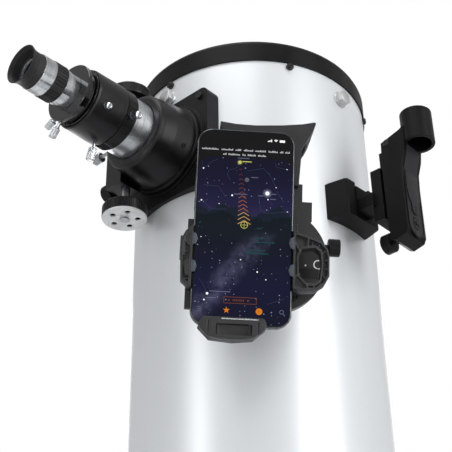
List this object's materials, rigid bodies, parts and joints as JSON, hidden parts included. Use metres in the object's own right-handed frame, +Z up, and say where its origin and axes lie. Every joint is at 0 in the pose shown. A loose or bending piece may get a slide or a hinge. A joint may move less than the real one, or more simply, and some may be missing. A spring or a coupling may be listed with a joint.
{
  "type": "dobsonian telescope",
  "caption": "Dobsonian reflector telescope on a rocker box, with a rack focuser, a red-dot finder and a phone dock holding a phone.",
  "frame": {"origin": "on the floor at the centre of the round ground board, under the upright tube's axis", "axes": "+Z up along the tube's axis at rest, -Y towards the observer, +X to the observer's right and along the altitude axis"},
  "size_m": [0.4999, 0.5, 1.245],
  "materials": {
    "tube_enamel": "smooth silver enamel",
    "ring_enamel": "satin moulded black",
    "black_laminate": "fine-textured black laminate on particle board",
    "black_rubber": "matt rubber",
    "ptfe": "slippery white plastic",
    "zinc_steel": "zinc plated",
    "black_steel": "black oxide",
    "black_abs": "spark-eroded moulded ABS",
    "cell_casting": "black powder coat on die casting",
    "mirror_glass": "aluminised glass",
    "chrome": "polished chrome plate",
    "black_anodised": "satin black anodised",
    "clear_anodised": "satin turned aluminium",
    "knob_alloy": "knurled black rim and bright turned face",
    "lens_glass": "coated optical glass",
    "dock_plastic": "dark grey moulded plastic",
    "phone_glass": "black glass front in a metal band"
  },
  "bodies": {
    "ground": {"ground_board": "black_laminate", "rubber_feet": "black_rubber", "azimuth_pads": "ptfe", "pivot_bolt": "zinc_steel"},
    "rocker": {"rocker_bottom": "black_laminate", "side_boards": "black_laminate", "front_board": "black_laminate", "altitude_pads": "ptfe", "base_screws": "zinc_steel", "eyepiece_rack": "black_abs"},
    "optical_tube": {"tube": "tube_enamel", "front_ring": "ring_enamel", "rear_ring": "ring_enamel", "ring_screws": "black_steel", "altitude_hubs": "black_abs", "mirror_cell": "cell_casting", "mirror_clips": "black_abs", "primary_mirror": "mirror_glass", "optics_screws": "zinc_steel", "collimation_springs": "zinc_steel", "spider": "black_steel", "spider_nuts": "chrome", "secondary_holder": "black_abs", "secondary_mirror": "mirror_glass", "focuser_saddle": "black_anodised", "focuser_housing": "black_anodised", "focuser_screws": "black_steel", "dock_base": "dock_plastic", "dock_mirror": "mirror_glass", "finder_shoe": "black_abs"},
    "altitude_knob_left": {"altitude_knob_left": "black_abs"},
    "altitude_knob_right": {"altitude_knob_right": "black_abs"},
    "collimation_knob_1": {"collimation_knob_1": "black_abs"},
    "collimation_knob_2": {"collimation_knob_2": "black_abs"},
    "collimation_knob_3": {"collimation_knob_3": "black_abs"},
    "drawtube": {"drawtube": "clear_anodised", "eyepiece_clamp": "black_anodised"},
    "focus_drive": {"focus_shaft": "zinc_steel", "focus_knobs": "knob_alloy"},
    "adapter": {"adapter": "black_anodised"},
    "adapter_screw_1": {"adapter_screw_1": "chrome"},
    "adapter_screw_2": {"adapter_screw_2": "chrome"},
    "clamp_screw_1": {"clamp_screw_1": "chrome"},
    "clamp_screw_2": {"clamp_screw_2": "chrome"},
    "clamp_screw_3": {"clamp_screw_3": "chrome"},
    "eyepiece": {"eyepiece_body": "chrome", "eyepiece_grip": "black_rubber", "eyecup": "black_rubber", "eyepiece_lenses": "lens_glass"},
    "tension_knob": {"tension_knob": "black_abs"},
    "lock_screw": {"lock_screw": "zinc_steel"},
    "dock_carriage": {"dock_carriage": "dock_plastic"},
    "dock_knob": {"dock_knob": "black_abs"},
    "clamp_arm_left": {"clamp_arm_left": "dock_plastic"},
    "clamp_arm_right": {"clamp_arm_right": "dock_plastic"},
    "phone_tray": {"phone_tray": "dock_plastic"},
    "phone": {"phone": "phone_glass"},
    "finder_stem": {"finder_stem": "black_abs"},
    "finder_body": {"finder_body": "black_abs"},
    "finder_knob": {"finder_knob": "black_abs"}
  },
  "joints": [
    {"name": "azimuth_turn", "type": "hinge", "parent": "ground", "child": "rocker", "pos_m": [0, 0, 0.04], "axis": [0, 0, 1], "continuous": true},
    {"name": "altitude_tilt", "type": "hinge", "parent": "rocker", "child": "optical_tube", "pos_m": [0, 0, 0.525], "axis": [-1, 0, 0], "range_deg": [0, 88]},
    {"name": "altitude_knob_left_turn", "type": "hinge", "parent": "optical_tube", "child": "altitude_knob_left", "pos_m": [-0.15, 0, 0.525], "axis": [-1, 0, 0], "range_deg": [-180, 180]},
    {"name": "altitude_knob_right_turn", "type": "hinge", "parent": "optical_tube", "child": "altitude_knob_right", "pos_m": [0.15, 0, 0.525], "axis": [1, 0, 0], "range_deg": [-180, 180]},
    {"name": "collimation_knob_1_turn", "type": "hinge", "parent": "optical_tube", "child": "collimation_knob_1", "pos_m": [0, 0.088, 0.09], "axis": [0, 0, 1], "range_deg": [-180, 180]},
    {"name": "collimation_knob_2_turn", "type": "hinge", "parent": "optical_tube", "child": "collimation_knob_2", "pos_m": [-0.07621, -0.044, 0.09], "axis": [0, 0, 1], "range_deg": [-180, 180]},
    {"name": "collimation_knob_3_turn", "type": "hinge", "parent": "optical_tube", "child": "collimation_knob_3", "pos_m": [0.07621, -0.044, 0.09], "axis": [0, 0, 1], "range_deg": [-180, 180]},
    {"name": "focus_slide", "type": "slide", "parent": "optical_tube", "child": "drawtube", "axis": [-0.6455, -0.7638, 0], "range_m": [-0.017, 0.03]},
    {"name": "focus_turn", "type": "hinge", "parent": "optical_tube", "child": "focus_drive", "pos_m": [-0.11713, -0.08903, 1.133], "axis": [0, 0, 1], "range_deg": [-412, 235]},
    {"name": "adapter_lift_out", "type": "slide", "parent": "drawtube", "child": "adapter", "axis": [-0.6455, -0.7638, 0], "range_m": [0, 0.03]},
    {"name": "eyepiece_lift_out", "type": "slide", "parent": "adapter", "child": "eyepiece", "axis": [-0.6455, -0.7638, 0], "range_m": [0, 0.035]},
    {"name": "adapter_screw_1_turn", "type": "hinge", "parent": "adapter", "child": "adapter_screw_1", "pos_m": [-0.15271, -0.18071, 1.133], "axis": [-0.683, 0.5771, -0.4478], "range_deg": [-180, 180]},
    {"name": "adapter_screw_2_turn", "type": "hinge", "parent": "adapter", "child": "adapter_screw_2", "pos_m": [-0.15271, -0.18071, 1.133], "axis": [-0.4991, 0.4218, -0.757], "range_deg": [-180, 180]},
    {"name": "clamp_screw_1_turn", "type": "hinge", "parent": "drawtube", "child": "clamp_screw_1", "pos_m": [-0.13103, -0.15505, 1.133], "axis": [-0.236, 0.1995, -0.9511], "range_deg": [-180, 180]},
    {"name": "clamp_screw_2_turn", "type": "hinge", "parent": "drawtube", "child": "clamp_screw_2", "pos_m": [-0.14265, -0.1688, 1.133], "axis": [0.6547, -0.5533, -0.515], "range_deg": [-180, 180]},
    {"name": "clamp_screw_3_turn", "type": "hinge", "parent": "drawtube", "child": "clamp_screw_3", "pos_m": [-0.12522, -0.14818, 1.133], "axis": [0.6978, -0.5897, -0.4067], "range_deg": [-180, 180]},
    {"name": "tension_knob_turn", "type": "hinge", "parent": "optical_tube", "child": "tension_knob", "pos_m": [-0.12782, -0.07999, 1.1], "axis": [-0.7638, 0.6455, 0], "range_deg": [-180, 180]},
    {"name": "lock_screw_turn", "type": "hinge", "parent": "optical_tube", "child": "lock_screw", "pos_m": [-0.13228, -0.08526, 1.142], "axis": [-0.7638, 0.6455, 0], "range_deg": [-180, 180]},
    {"name": "dock_shift", "type": "slide", "parent": "optical_tube", "child": "dock_carriage", "axis": [0.994, 0.1035, -0.0354], "range_m": [-0.005, 0.005]},
    {"name": "dock_knob_turn", "type": "hinge", "parent": "optical_tube", "child": "dock_knob", "pos_m": [0.05921, -0.16735, 0.97866], "axis": [0.994, 0.1035, -0.0354], "range_deg": [-362, 362]},
    {"name": "clamp_left_open", "type": "slide", "parent": "dock_carriage", "child": "clamp_arm_left", "axis": [-0.994, -0.1035, 0.0354], "range_m": [0, 0.018], "stiffness_N_per_m": 120, "springref_m": -0.01},
    {"name": "clamp_right_open", "type": "slide", "parent": "dock_carriage", "child": "clamp_arm_right", "axis": [0.994, 0.1035, -0.0354], "range_m": [0, 0.018], "stiffness_N_per_m": 120, "springref_m": -0.01},
    {"name": "tray_slide", "type": "slide", "parent": "dock_carriage", "child": "phone_tray", "axis": [0.0609, -0.2549, 0.9651], "range_m": [-0.012, 0]},
    {"name": "phone_lift_out", "type": "slide", "parent": "dock_carriage", "child": "phone", "axis": [0.0609, -0.2549, 0.9651], "range_m": [0, 0.06]},
    {"name": "finder_lift_out", "type": "slide", "parent": "optical_tube", "child": "finder_stem", "axis": [0, 0, 1], "range_m": [0, 0.045]},
    {"name": "finder_tilt", "type": "hinge", "parent": "finder_stem", "child": "finder_body", "pos_m": [0.13099, -0.10992, 1.115], "axis": [0.6428, 0.766, 0], "range_deg": [-1.5, 1.5]},
    {"name": "finder_knob_turn", "type": "hinge", "parent": "finder_body", "child": "finder_knob", "pos_m": [0.11874, -0.09963, 1.021], "axis": [0.766, -0.6428, 0], "range_deg": [-252, 252]}
  ],
  "couplings": [
    {"joint": "focus_turn", "follows": "focus_slide", "rad_per_m": -238.1},
    {"joint": "dock_knob_turn", "follows": "dock_shift", "rad_per_m": 1256.6},
    {"joint": "clamp_right_open", "follows": "clamp_left_open", "ratio": 1},
    {"joint": "finder_knob_turn", "follows": "finder_tilt", "ratio": 166}
  ]
}
